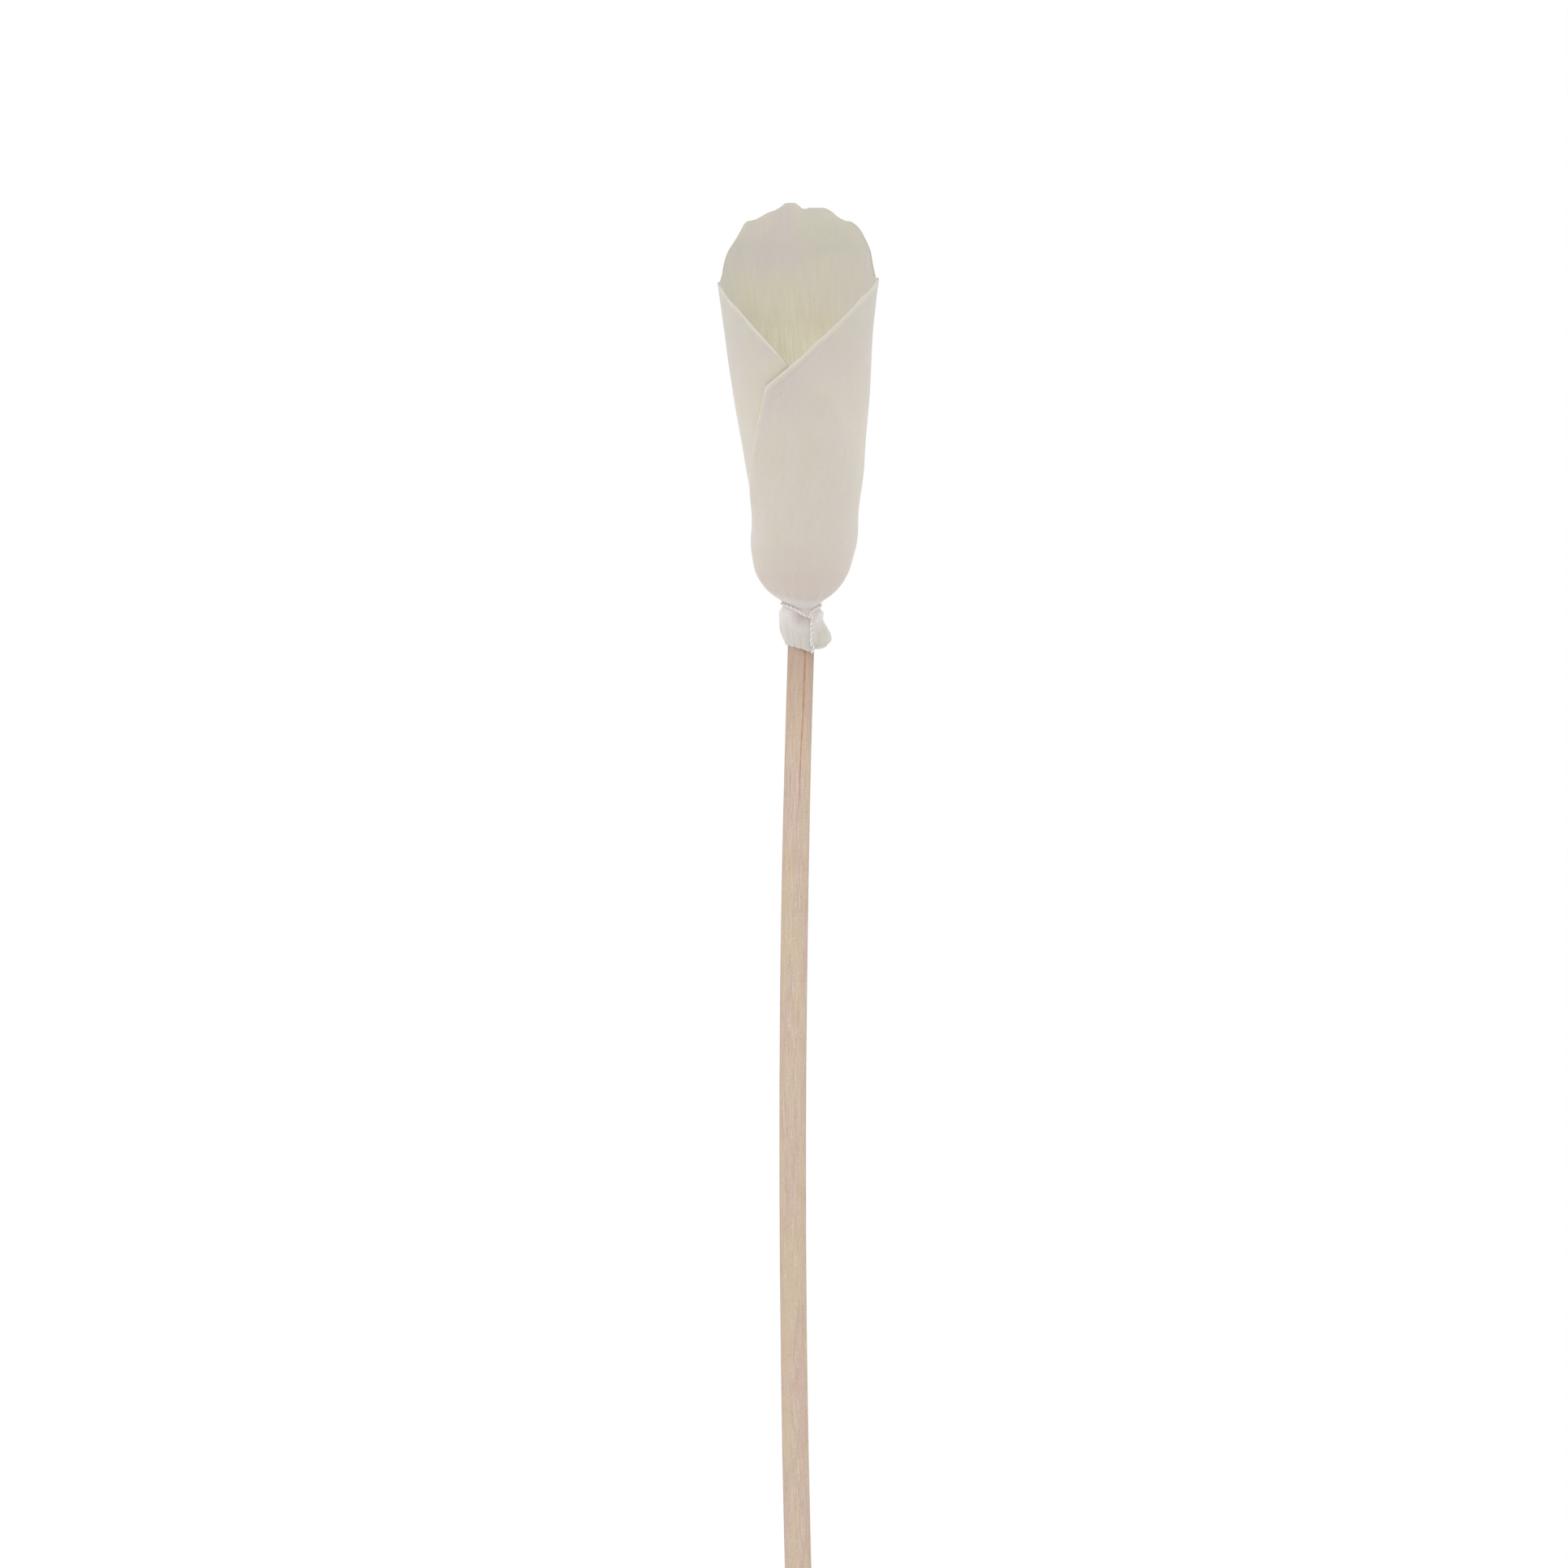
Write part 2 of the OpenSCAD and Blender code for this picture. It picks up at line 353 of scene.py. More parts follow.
def skirt_out(x, z):
    """How far in front of the reed's axis the skirt's outer face stands at x and z."""
    far = 50                             # mm from the rim and the side edges, which play no part here
    y = 4.0
    for _ in range(6):
        a = math.degrees(math.atan2(x, -y)) % 360
        h = z - TIE_Z + float(dip(a))
        foot = float(foot_z(a)) - TIE_Z + float(dip(a))
        r = float(sheet_radius(a, max(h, foot + 0.4), far, far, max(h - foot, 0.4))) + float(sheet_t(h)) / 2
        y = math.sqrt(max(r * r - x * x, 1))
    return y


def half_width(share):
    return np.where(share > 0, OUTER_HALF_W, HALF_W)


def sheet_turn(share, h):
    """Angle reached by a share of the sheet's half width at height h."""
    return share * np.degrees(half_width(share) / (CONE_FOOT_R + CONE_SLOPE * np.maximum(h, GATHER_H)))


def sheet_rows(share):
    """Heights above the tie of the rim, of the foot and of every row of points, column by column."""
    outer, inner = smooth_list(OUTER_RIM, RIM_ROUNDING), smooth_list(INNER_RIM, RIM_ROUNDING)
    across = np.abs(share) * half_width(share)
    rim_h = np.where(share > 0, outer(across), inner(across)) - TIE_Z
    foot_a = sheet_turn(share, 0)
    foot_h = foot_z(foot_a) - TIE_Z + dip(foot_a)
    # the inner half is cut shorter where the outer one is drawn in to the reed
    foot_h = foot_h + INNER_FOOT_UP * near(foot_a, 235, 70) * step(-foot_a, 0, 60)
    rows = []
    for f in np.linspace(0, 1, SKIRT_ROWS, endpoint=False) ** 1.5:
        rows.append(foot_h + (-BAND_H - foot_h) * f)
    for f in np.linspace(0, 1, FOOT_ROWS, endpoint=False):
        rows.append(np.full_like(share, -BAND_H + (CUP_ROWS_FROM + BAND_H) * f))
    for f in 1 - (1 - np.linspace(0, 1, CUP_ROWS)) ** 1.6:
        rows.append(CUP_ROWS_FROM + (rim_h - CUP_ROWS_FROM) * f)
    return rim_h, foot_h, np.array(rows)


def stain_weight(a, s, h, z):
    """Where the sheet is stained yellow: on the skirt, in its slit, and beside the front overlap."""
    stain = 0.65 * near(a, 126, 12) * bell(z, 218.8, 1.4) + 0.9 * slit_weight(a, h)
    for size, across, wide, up, tall in ((0.5, -0.82, 0.04, 43.2, 2.2), (0.42, -0.68, 0.024, 36.8, 3.4),
                                         (0.34, -0.61, 0.022, 30.4, 3)):
        stain = stain + size * bell(s, across, wide) * bell(h, up, tall)
    return stain


def make_flower(material):
    x = 1 - (1 - np.linspace(0, 1, COLUMNS + 1)) ** 1.5
    share = np.concatenate([-x[:0:-1], x])
    rim_h, foot_h, h = sheet_rows(share)
    s = np.broadcast_to(share, h.shape)
    a = sheet_turn(s, h)
    to_side = (1 - np.abs(s)) * half_width(s)
    to_rim = rim_h - h
    to_foot = h - foot_h
    r = sheet_radius(a, h, to_rim, to_side, to_foot)
    # the lips of the mouth are a little fuller
    lip_w = 1.3 + 0.7 * step(h, 42, 60) * (a > 0)
    lip_w = lip_w * (1 + 0.15 * np.sin(h * 0.9) * np.sin(h * 0.37 + 2))
    lip = (1 - step(to_rim, lip_w - 0.9, lip_w + 0.9)) * front_weight(a) * lip_free(a)
    t = sheet_t(h) * (1 + 0.12 * lip) * (1 - 0.35 * step(-h, 5.5, 8.5))
    r = r + sheet_t(h) * 0.05 * lip
    # the thickness is rounded off at all four edges
    edge = np.minimum(np.minimum(to_rim, to_side), to_foot)
    e = np.clip(edge / (t / 2), 0, 1)
    half_t = t / 2 * np.sqrt(np.clip(1 - (1 - e) ** 2, 0, 1))
    z = TIE_Z + h - dip(a) * np.clip(1 - h / GATHER_H, 0, 1)
    sway = LEAN * np.sin(2 * math.pi * np.clip(h, 0, None) / LEAN_PERIOD)
    grain = 0.012 * np.sin(a * 5.3 + 2 * np.sin(h * 0.21)) * np.sin(a * 1.9 + 1) * step(edge, 0, 1)

    def face(side):
        q = r + side * half_t + grain
        return np.stack([q * np.sin(np.radians(a)) + sway, q * np.cos(np.radians(a)), z], axis=-1)

    # two faces that share their outermost points
    n, m = h.shape
    index = np.arange(n * m).reshape(n, m)
    back = index.copy()
    inside = np.zeros((n, m), dtype=bool)
    inside[1:-1, 1:-1] = True
    back[inside] = n * m + np.arange(inside.sum())
    faces = []
    for i in range(n - 1):
        for k in range(m - 1):
            faces.append((index[i, k], index[i + 1, k], index[i + 1, k + 1], index[i, k + 1]))
            faces.append((back[i, k], back[i, k + 1], back[i + 1, k + 1], back[i + 1, k]))

    def both(numbers):
        """The same number on both faces."""
        return np.concatenate([numbers.ravel(), numbers[inside]])

    uv = np.stack([both((s * 46 + 50) / 100), both((h + 10) / 100)], axis=-1)
    # nearness to the cut edges, which the material paints darker as shade
    cut = np.maximum(np.exp(-np.minimum(to_rim, to_foot) / 0.22), 0.25 * np.exp(-to_side / 0.22))
    # painted shade: a darker, pinkish patch below the tie, under the thread's front strand, standing for the
    # shade beneath it
    shade = near(a, 184, 30) * bell(h, -2.0, 1.5)
    values = {
        "inner_face": np.concatenate([np.zeros(n * m), np.ones(int(inside.sum()))]),
        # the lips of the mouth, which the material paints lighter as a highlight
        "mouth_edge": both(lip),
        "stain": both(stain_weight(a, s, h, z)),
        "shade": both(shade),
        "cut_edge": both(cut),
        "above_tie": both(h),
    }
    points = np.concatenate([face(1).reshape(-1, 3), face(-1)[inside]])
    ob = make_mesh("flower", points, faces, material, uv=uv, values=values)
    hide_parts("spathe")
    return ob


# ---------------------------------------------------------------- reed

BOW_R, BOW_A, END_R, BOW_MID_Z = 2900.0, math.radians(1.8), 300.0, 121.5
BEVEL, PORE_DEPTH = 0.3, 0.22
REED_SIDES, REED_ROWS, END_RINGS, PORES = 192, 330, 34, 70
fibres = ripples(21, [9, 14, 23, 31, 47, 62])
knots_along = waves(23, 8, 0.02, 0.07)


def reed_line(z):
    """Sideways place of the reed's centreline at height z: a long bow with a short bend back at each end."""
    side = (BOW_R + END_R) * (1 - math.cos(BOW_A))
    half_h = (BOW_R + END_R) * math.sin(BOW_A)
    d = np.abs(z - BOW_MID_Z)
    long_h = BOW_R * math.sin(BOW_A)
    main = -side + BOW_R - np.sqrt(BOW_R**2 - np.clip(d, 0, long_h) ** 2)
    short = -END_R + np.sqrt(END_R**2 - np.clip(half_h - d, 0, END_R) ** 2)
    return np.where(d < long_h, main, np.where(d < half_h, short, 0.0))


def groove_depth(a, z):
    """A narrow groove down the front, 0 to 1, that drifts to one side and fades as it goes down."""
    below = 214 - z
    middle = 160 + 27 * step(below, 0, 52) + 1.5 * np.sin(z / 3.1) * step(below, 0, 20)
    groove = bell(turn_from(a, middle), 0, 3.2 + 1.6 * step(z, 190, 215))
    groove = groove * (0.12 * step(z, 100, 150) + 0.3 * step(z, 176, 188) + 0.58 * step(z, 188, 194))
    return groove * (0.75 + 0.25 * np.sin(z * 1.7) * np.sin(z * 0.63 + 1))


def make_reed(material):
    close = BEVEL * np.array([0, 0.2, 0.5, 1])
    z = np.linspace(0, REED_TOP, REED_ROWS)
    z = np.concatenate([close, z[1:-1], REED_TOP - close[::-1]])
    A, Z = np.meshgrid(np.arange(REED_SIDES) * 360 / REED_SIDES, z)
    groove = groove_depth(A, Z)
    r = STEM_D / 2 - 0.045 - 0.02 * Z / REED_TOP
    r = r + 0.018 * fibres(A + 3 * np.sin(Z / 51)) + 0.01 * fibres(A + Z * 0.05 + 90)
    r = r + 0.02 * knots_along(Z, A / 40) - 0.09 * groove
    bevel = np.clip(np.minimum(Z, REED_TOP - Z) / BEVEL, 0, 1)
    r = r - 0.16 * (1 - bevel) ** 2
    points = np.stack([r * np.sin(np.radians(A)) + reed_line(Z), r * np.cos(np.radians(A)), Z], axis=-1)
    points = points.reshape(-1, 3)
    faces = [quad[::-1] for quad in tube_faces(len(z), REED_SIDES)]
    uv = np.stack([A / 360 * 15.7 / 100, Z / 100], axis=-1).reshape(-1, 2)
    # the cut ends, with the open pores of rattan sunk into them
    rng = np.random.default_rng(31)
    pores = [(rng.uniform(0, 360), 2.2 * math.sqrt(rng.uniform(0, 1)), rng.uniform(0.1, 0.17))
             for _ in range(PORES)]
    side_count = len(points)
    for level, first, inwards in ((0.0, 0, 1), (REED_TOP, (len(z) - 1) * REED_SIDES, -1)):
        ends, end_faces = reed_end(points, first, level, inwards, pores)
        points = np.concatenate([points, ends])
        faces += end_faces
        uv = np.concatenate([uv, ends[:, :2] / 100 + 0.5])
    fresh = len(points) - side_count
    values = {
        "groove": np.concatenate([groove.ravel(), np.zeros(fresh)]),
        "cut_end": np.concatenate([np.zeros(side_count), np.ones(fresh)]),
        "up": points[:, 2],
    }
    ob = make_mesh("reed", points, faces, material, uv=uv, values=values)
    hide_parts("stem")
    return ob


def reed_end(points, first, level, inwards, pores):
    """One cut end: the points and faces that fill the ring of points beginning at first."""
    rim = points[first:first + REED_SIDES]
    middle = reed_line(level)
    rings = []
    for j in range(1, END_RINGS):
        f = 1 - j / END_RINGS
        ring = rim * [f, f, 0] + [middle * (1 - f), 0, level]
        depth = np.zeros(REED_SIDES)
        for pa, pr, pw in pores:
            px, py = pr * math.sin(math.radians(pa)), pr * math.cos(math.radians(pa))
            depth += PORE_DEPTH * bell(np.hypot(ring[:, 0] - px, ring[:, 1] - py), 0, pw)
        ring[:, 2] += np.clip(depth, 0, 0.25) * inwards
        rings.append(ring)
    begin = len(points)
    loops = [range(first, first + REED_SIDES)]
    loops += [range(begin + j * REED_SIDES, begin + (j + 1) * REED_SIDES) for j in range(END_RINGS - 1)]
    tip = begin + (END_RINGS - 1) * REED_SIDES
    faces = []
    for k in range(REED_SIDES):
        n = (k + 1) % REED_SIDES
        for one, two in zip(loops, loops[1:]):
            faces.append((one[k], one[n], two[n], two[k])[::inwards])
        faces.append((loops[-1][k], loops[-1][n], tip)[::inwards])
    return np.concatenate([*rings, [[middle, 0, level]]]), faces


# ---------------------------------------------------------------- thread

THREAD_D = 0.55
LAY = 1.82               # length along the thread in which its two plies go once round each other
LIE_GAP = 0.04           # air between the thread and what it lies on
WINDING_A = 353          # the turn stops this many degrees from where it begins, at the knot
KNOT_PLACE = (1.9, -3.8, TIE_Z - 2.75)
KNOT_SIZE, KNOT_THIN = 0.15, 0.7


def smooth_path(points, spacing):
    """An evenly spaced smooth curve through the points, and the length along it of each of its own points."""
    p = np.asarray(points, dtype=float)
    q = np.concatenate([[2 * p[0] - p[1]], p, [2 * p[-1] - p[-2]]])
    out = []
    for i in range(1, len(q) - 2):
        for t in np.arange(0, 1, 0.05):
            out.append(0.5 * (2 * q[i] + (q[i + 1] - q[i - 1]) * t
                              + (2 * q[i - 1] - 5 * q[i] + 4 * q[i + 1] - q[i + 2]) * t * t
                              + (3 * q[i] - q[i - 1] - 3 * q[i + 1] + q[i + 2]) * t**3))
    out = np.array(out + [p[-1]])
    far = lengths_along(out)
    s = np.linspace(0, far[-1], int(far[-1] / spacing) + 2)
    return np.stack([np.interp(s, far, out[:, k]) for k in range(3)], axis=1), s


def lengths_along(path):
    return np.concatenate([[0], np.cumsum(np.linalg.norm(np.diff(path, axis=0), axis=1))])


def frames_along(path):
    """A tangent and two steady normals at each point of the path."""
    t = np.gradient(path, axis=0)
    t /= np.linalg.norm(t, axis=1)[:, None]
    n = np.zeros_like(t)
    first = np.cross(t[0], [0.3, 0.2, 1.0])
    n[0] = first / np.linalg.norm(first)
    for i in range(1, len(t)):
        v = n[i - 1] - t[i] * np.dot(n[i - 1], t[i])
        n[i] = v / np.linalg.norm(v)
    return t, n, np.cross(t, n)


def plies(path, s, closed=False, sides=12, thick=THREAD_D):
    """Two strands twisted round each other along the path: points, faces and how far out each is."""
    _, n, b = frames_along(path)
    r = thick / 4
    rounding = 0.12
    points, faces, crests = [], [], []
    for start in (0, math.pi):
        turn = start + 2 * math.pi * s / LAY
        ends = np.ones(len(s))
        if not closed:
            from_end = np.clip(np.minimum(s, s[-1] - s) / rounding, 0, 1)
            ends = np.sqrt(np.clip(1 - (1 - from_end) ** 2, 0.03, 1))
        middle = path + r * (np.cos(turn)[:, None] * n + np.sin(turn)[:, None] * b)
        base = sum(len(p) for p in points)
        ang = np.arange(sides) * 2 * math.pi / sides
        hair = 1 + 0.06 * np.sin(3 * ang[None, :] + s[:, None] * 9 + start)
        spoke = np.cos(ang)[None, :, None] * n[:, None, :] + np.sin(ang)[None, :, None] * b[:, None, :]
        ring = middle[:, None, :] + (r * 1.08 * ends[:, None] * hair)[:, :, None] * spoke
        points.append(ring.reshape(-1, 3))
        # how far each point lies from the thread's axis; the material paints shade into the gaps between the
        # plies
        crests.append(np.linalg.norm(ring - path[:, None, :], axis=2).ravel() / (2 * r))
        rows = len(path)
        faces += tube_faces(rows, sides, base)
        faces.append(tuple(base + k for k in reversed(range(sides))))
        faces.append(tuple(base + (rows - 1) * sides + k for k in range(sides)))
    return np.concatenate(points), faces, np.concatenate(crests)


def winding_point(k):
    """A point of the single turn round the neck, from the knot at k = 0 back to it at k = 1."""
    a = KNOT_A - 6 - WINDING_A * k
    r = NECK_OUT_R + LIE_GAP + THREAD_D / 2
    z = TIE_Z - 0.38 - float(dip(a)) - KNOT_PULL * math.exp(-((WINDING_A * (1 - k) / 30) ** 2))
    return r * math.sin(math.radians(a)), r * math.cos(math.radians(a)), z


# The free end hangs down over the skirt: sideways place, height from the tie
TAIL = [(1.95, -9.75), (2.12, -9.3), (2.3, -8.85), (2.15, -8.4), (1.92, -7.9), (1.88, -7.2), (1.92, -6.2),
        (1.88, -5.2), (1.92, -4.3), (1.9, -3.6)]
# The bend that leads it up to the turn round the neck: x, y, height from the tie
BEND = [(1.92, -3.68, -2.9), (1.98, -3.55, -2.45), (2.1, -3.32, -2.05)]


def make_thread(material):
    tail = [(x, -skirt_out(x, TIE_Z + h) - THREAD_D / 2 - LIE_GAP, TIE_Z + h) for x, h in TAIL]
    bend = [(x, y, TIE_Z + h) for x, y, h in BEND]
    turn = [winding_point(k / 40) for k in range(1, 41)]
    path, s = smooth_path(tail + bend + turn, 0.05)
    points, faces, crest = plies(path, s)
    # 1 on the free end and 0 on the turn round the neck, which the material paints in shade
    hangs = np.clip((TIE_Z - 2.6 - points[:, 2]) / 0.8, 0, 1) * (points[:, 1] < -3.6)
    ob = make_mesh("thread", points, faces, material, values={"crest": crest, "hangs": hangs})
    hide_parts("thread_winding", "thread_tail")
    # the knot: thread of the same twist going twice round the free end and through itself, drawn tight
    t = np.linspace(0, 2 * math.pi, 240, endpoint=False)
    x, y = np.sin(t) + 2 * np.sin(2 * t), np.cos(t) - 2 * np.cos(2 * t)
    knot = np.stack([x, y, np.sin(3 * t) * 2.4], axis=1)
    loop = np.concatenate([knot, knot[:1]]) * KNOT_SIZE
    far = lengths_along(loop)
    points, faces, crest = plies(loop + KNOT_PLACE, far, closed=True, thick=THREAD_D * KNOT_THIN)
    # the knot is painted partly in shade, like the turn round the neck
    knot_ob = make_mesh("knot", points, faces, material,
                        values={"crest": crest, "hangs": np.full(len(points), 0.3)})
    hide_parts("thread_knot")
    return ob


# ---------------------------------------------------------------- materials

def srgb(r, g, b):
    def one(c):
        c /= 255
        return c / 12.92 if c <= 0.04045 else ((c + 0.055) / 1.055) ** 2.4
    return one(r), one(g), one(b), 1


class Nodes:
    """A material and short ways of adding nodes to it."""

    def __init__(self, name):
        self.mat = bpy.data.materials.new(name)
        self.mat.use_nodes = True
        self.tree = self.mat.node_tree
        self.shader = self.tree.nodes["Principled BSDF"]

    def add(self, kind, **settings):
        node = self.tree.nodes.new(kind)
        for key, value in settings.items():
            setattr(node, key, value)
        return node

    def link(self, out, socket):
        self.tree.links.new(out, socket)

    def uv(self, name, scale):
        pin = self.add("ShaderNodeUVMap", uv_map=name)
        size = self.add("ShaderNodeMapping")
        size.inputs["Scale"].default_value = scale
        self.link(pin.outputs["UV"], size.inputs["Vector"])
        return size.outputs["Vector"]

    def noise(self, where, scale, detail=3.0, rough=0.5):
        node = self.add("ShaderNodeTexNoise")
        node.inputs["Scale"].default_value = scale
        node.inputs["Detail"].default_value = detail
        node.inputs["Roughness"].default_value = rough
        self.link(where, node.inputs["Vector"])
        return node.outputs["Fac"]

    def value(self, name):
        return self.add("ShaderNodeAttribute", attribute_name=name).outputs["Fac"]

    def span(self, fac, lo, hi, to_lo=0.0, to_hi=1.0):
        node = self.add("ShaderNodeMapRange")
        for key, number in (("From Min", lo), ("From Max", hi), ("To Min", to_lo), ("To Max", to_hi)):
            node.inputs[key].default_value = number
        self.link(fac, node.inputs["Value"])
        return node.outputs["Result"]

    def mix(self, fac, one, two):
        node = self.add("ShaderNodeMix", data_type="RGBA")
        picks = {"Factor": node.inputs[0], "A": node.inputs[6], "B": node.inputs[7]}
        for key, value in (("Factor", fac), ("A", one), ("B", two)):
            if isinstance(value, tuple):
                picks[key].default_value = value
            else:
                self.link(value, picks[key])
        return node.outputs[2]

    def tint(self, colour, fac, lo, hi, most, rgb):
        """The colour, drawn towards rgb by up to most as fac goes from lo to hi."""
        return self.mix(self.span(fac, lo, hi, 0, most), colour, srgb(*rgb))

    def bump(self, height, strength, distance, normal=None):
        node = self.add("ShaderNodeBump")
        node.inputs["Strength"].default_value = strength
        node.inputs["Distance"].default_value = distance
        self.link(height, node.inputs["Height"])
        if normal is not None:
            self.link(normal, node.inputs["Normal"])
        return node.outputs["Normal"]


def pith_material():
    m = Nodes("pith_sheet")
    place = m.uv("flower_uv", (1, 1, 1))
    blotch = m.noise(place, 7, 2)
    blotch2 = m.noise(m.uv("flower_uv", (1.3, 0.8, 1)), 4.2, 2)
    patch = m.noise(m.uv("flower_uv", (1.0, 0.7, 1)), 17, 2, 0.6)
    streak = m.noise(m.uv("flower_uv", (1, 0.06, 1)), 240, 4, 0.6)
    cells = m.noise(place, 420, 3, 0.6)
    specks = m.noise(m.uv("flower_uv", (1, 0.7, 1)), 330, 1, 0.2)
    tall = m.value("above_tie")
    # the outside: mottled, streaked along the pith, and greyer towards the mouth
    base = m.mix(m.span(blotch, 0.38, 0.62), srgb(212, 204, 197), srgb(210, 204, 194))
    base = m.tint(base, blotch2, 0.4, 0.65, 0.7, (210, 201, 193))
    base = m.tint(base, streak, 0.35, 0.68, 0.25, (199, 191, 179))
    base = m.tint(base, tall, 32, 52, 0.85, (195, 191, 186))
    base = m.tint(base, patch, 0.45, 0.68, 0.35, (206, 202, 184))
    # the inside, with painted light: paler and yellower down in the cup, standing for light that shines
    # through the thin sheet into the cup's shade
    inner = m.mix(m.span(blotch, 0.38, 0.62), srgb(200, 196, 197), srgb(198, 197, 189))
    deep = m.mix(m.span(blotch, 0.38, 0.62), srgb(235, 229, 219), srgb(234, 231, 215))
    inner = m.mix(m.span(tall, 66, 42), inner, deep)
    inner = m.tint(inner, tall, 52, 43, 0.6, (250, 247, 238))
    inner = m.tint(inner, patch, 0.42, 0.66, 0.25, (214, 206, 183))
    inner = m.tint(inner, streak, 0.35, 0.68, 0.3, (196, 190, 178))
    colour = m.mix(m.value("inner_face"), base, inner)
    # painted highlight and shade: the lips are painted lighter, where their outward turn catches the light,
    # and the cut edges darker, against the light their thin faces catch
    colour = m.tint(colour, m.value("mouth_edge"), 0, 1, 0.6, (210, 207, 196))
    colour = m.tint(colour, m.value("cut_edge"), 0.1, 1, 0.9, (168, 164, 150))
    # the bulb's foot, the neck and the skirt: warmer and a little darker towards the bulb's foot
    colour = m.tint(colour, tall, 11, 3, 0.8, (207, 193, 186))
    # painted light: the shade round the tie is lifted, palest just above it
    colour = m.tint(colour, tall, 4.5, 0, 0.7, (223, 207, 198))
    colour = m.tint(colour, tall, 1.6, 0.3, 0.8, (246, 234, 226))
    # the skirt below the tie: a plain beige, without the light painted above it
    colour = m.tint(colour, tall, -1.8, -4.8, 0.9, (213, 205, 197))
    # painted shade below the thread, then stains and specks
    colour = m.tint(colour, m.value("shade"), 0.1, 1, 0.75, (192, 180, 176))
    colour = m.tint(colour, m.value("stain"), 0.1, 1, 0.65, (212, 208, 164))
    colour = m.tint(colour, specks, 0.76, 0.8, 0.45, (158, 142, 116))
    colour = m.tint(colour, specks, 0.235, 0.2, 0.35, (238, 230, 208))
    m.link(colour, m.shader.inputs["Base Color"])
    m.link(m.span(cells, 0.3, 0.7, 0.78, 0.95), m.shader.inputs["Roughness"])
    m.shader.inputs["Specular IOR Level"].default_value = 0.1
    m.shader.inputs["Subsurface Weight"].default_value = 0.85
    m.shader.inputs["Subsurface Radius"].default_value = (1.0, 0.95, 0.8)
    m.shader.inputs["Subsurface Scale"].default_value = 0.0011
    normal = m.bump(streak, 0.35, 0.00012)
    normal = m.bump(cells, 0.25, 0.00005, normal)
    m.link(normal, m.shader.inputs["Normal"])
    return m.mat


def rattan_material():
    m = Nodes("rattan")
    fibre = m.noise(m.uv("reed_uv", (1, 0.02, 1)), 900, 4, 0.65)
    vein = m.noise(m.uv("reed_uv", (1, 0.06, 1)), 240, 3, 0.6)
    cloud = m.noise(m.uv("reed_uv", (1, 0.12, 1)), 38, 2)
    fleck = m.noise(m.uv("reed_uv", (1, 0.22, 1)), 700, 2, 0.5)
    dot = m.noise(m.uv("reed_uv", (1, 0.5, 1)), 560, 1, 0.3)
    pores = m.noise(m.uv("reed_uv", (1, 1, 1)), 500, 2)
    colour = m.mix(m.span(fibre, 0.36, 0.64), srgb(183, 161, 146), srgb(221, 204, 193))
    colour = m.tint(colour, vein, 0.42, 0.62, 0.6, (190, 162, 140))
    colour = m.tint(colour, cloud, 0.42, 0.6, 0.6, (207, 189, 162))
    colour = m.tint(colour, cloud, 0.45, 0.34, 0.6, (204, 180, 166))
    colour = m.tint(colour, fleck, 0.6, 0.72, 0.7, (232, 218, 200))
    colour = m.tint(colour, dot, 0.66, 0.74, 0.6, (150, 120, 98))
    # painted shade: the reed darkens towards its top, under the skirt
    colour = m.tint(colour, m.value("up"), 196, 217, 0.65, (180, 155, 135))
    colour = m.tint(colour, m.value("groove"), 0.05, 0.9, 0.85, (182, 122, 98))
    ends = m.mix(m.span(pores, 0.4, 0.62), srgb(190, 166, 140), srgb(146, 118, 92))
    colour = m.mix(m.value("cut_end"), colour, ends)
    m.link(colour, m.shader.inputs["Base Color"])
    m.link(m.span(fibre, 0.3, 0.7, 0.7, 0.9), m.shader.inputs["Roughness"])
    m.shader.inputs["Specular IOR Level"].default_value = 0.12
    normal = m.bump(fibre, 0.4, 0.0001)
    normal = m.bump(vein, 0.3, 0.00015, normal)
    m.link(normal, m.shader.inputs["Normal"])
    return m.mat


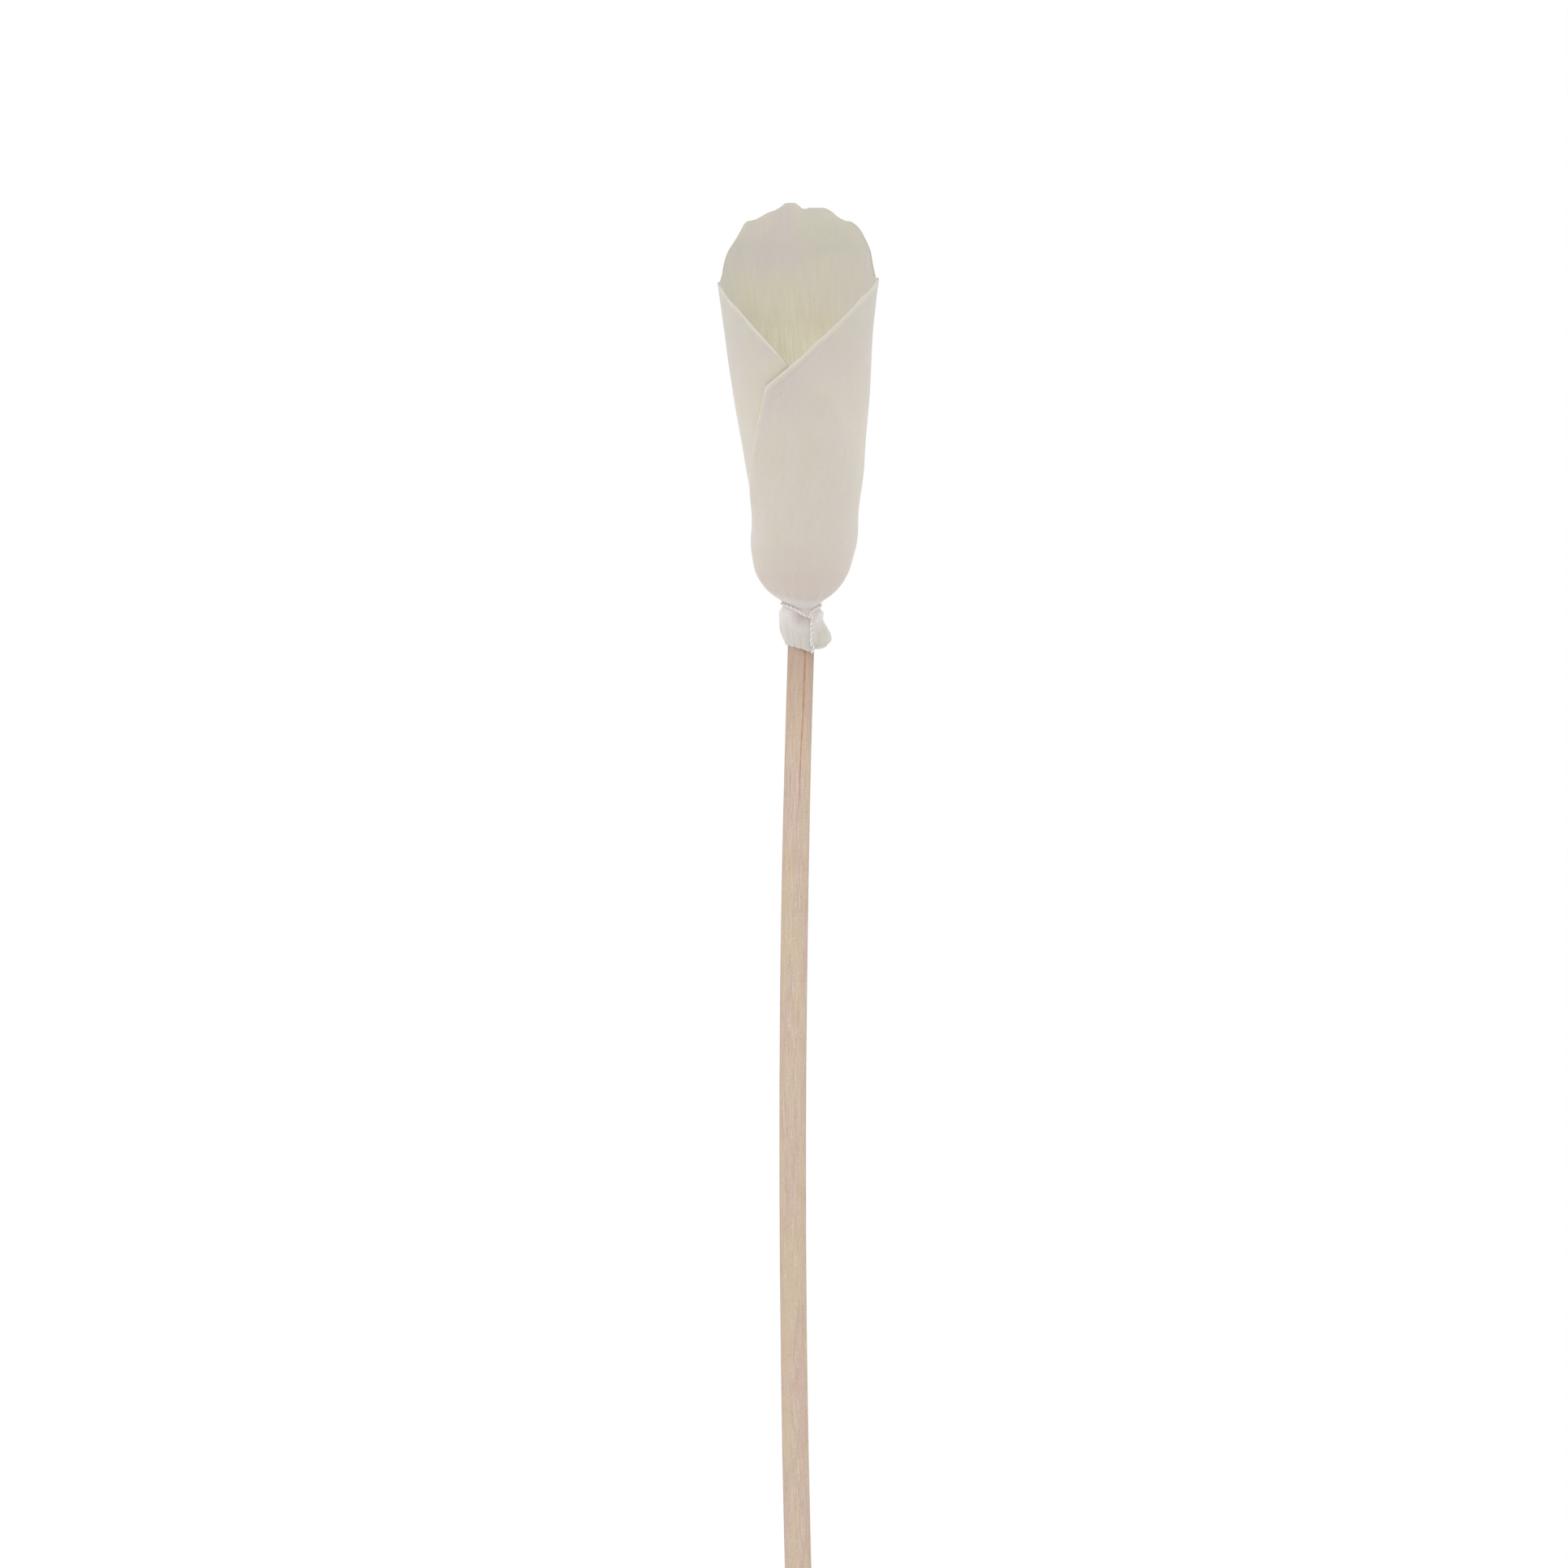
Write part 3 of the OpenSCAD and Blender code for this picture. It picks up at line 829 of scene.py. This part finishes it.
def thread_material():
    m = Nodes("thread")
    where = m.add("ShaderNodeTexCoord").outputs["Object"]
    lint = m.noise(where, 9000, 3, 0.6)
    soft = m.noise(where, 900, 2)
    colour = m.mix(m.span(soft, 0.35, 0.65), srgb(244, 241, 236), srgb(250, 249, 246))
    colour = m.tint(colour, lint, 0.4, 0.7, 0.3, (214, 210, 202))
    # painted shade: the turn round the neck and the knot are darker than the free end that hangs down, and
    # the gaps between the plies are painted darker still
    colour = m.tint(colour, m.value("hangs"), 1, 0, 0.45, (224, 215, 208))
    gaps = m.mix(m.value("hangs"), srgb(208, 199, 192), srgb(196, 190, 184))
    colour = m.mix(m.span(m.value("crest"), 0.94, 0.72, 0, 0.85), colour, gaps)
    m.link(colour, m.shader.inputs["Base Color"])
    m.link(m.span(lint, 0.3, 0.7, 0.7, 0.95), m.shader.inputs["Roughness"])
    m.shader.inputs["Sheen Weight"].default_value = 0.3
    m.link(m.bump(lint, 0.5, 0.00004), m.shader.inputs["Normal"])
    return m.mat


# ---------------------------------------------------------------- floor

FLOOR_R, FLOOR_SIDES = 0.42, 96


def make_floor():
    m = Nodes("floor")
    where = m.add("ShaderNodeTexCoord").outputs["Object"]
    tone = m.mix(m.span(m.noise(where, 4, 2), 0.3, 0.7), srgb(238, 237, 235), srgb(243, 242, 240))
    m.link(tone, m.shader.inputs["Base Color"])
    m.shader.inputs["Roughness"].default_value = 0.9
    turns = [2 * math.pi * k / FLOOR_SIDES for k in range(FLOOR_SIDES)]
    rim = [(FLOOR_R * math.cos(t), FLOOR_R * math.sin(t), 0) for t in turns]
    me = bpy.data.meshes.new("floor")
    me.from_pydata(rim, [], [tuple(range(FLOOR_SIDES))])
    me.materials.append(m.mat)
    ob = bpy.data.objects.new("floor", me)
    bpy.context.scene.collection.objects.link(ob)


make_camera()
make_world()
make_thread(thread_material())
make_flower(pith_material())
make_reed(rattan_material())
make_light("key", KEY_PLACE, KEY_AIM, KEY_SIZE, KEY_WATTS, KEY_COLOUR)
make_floor()
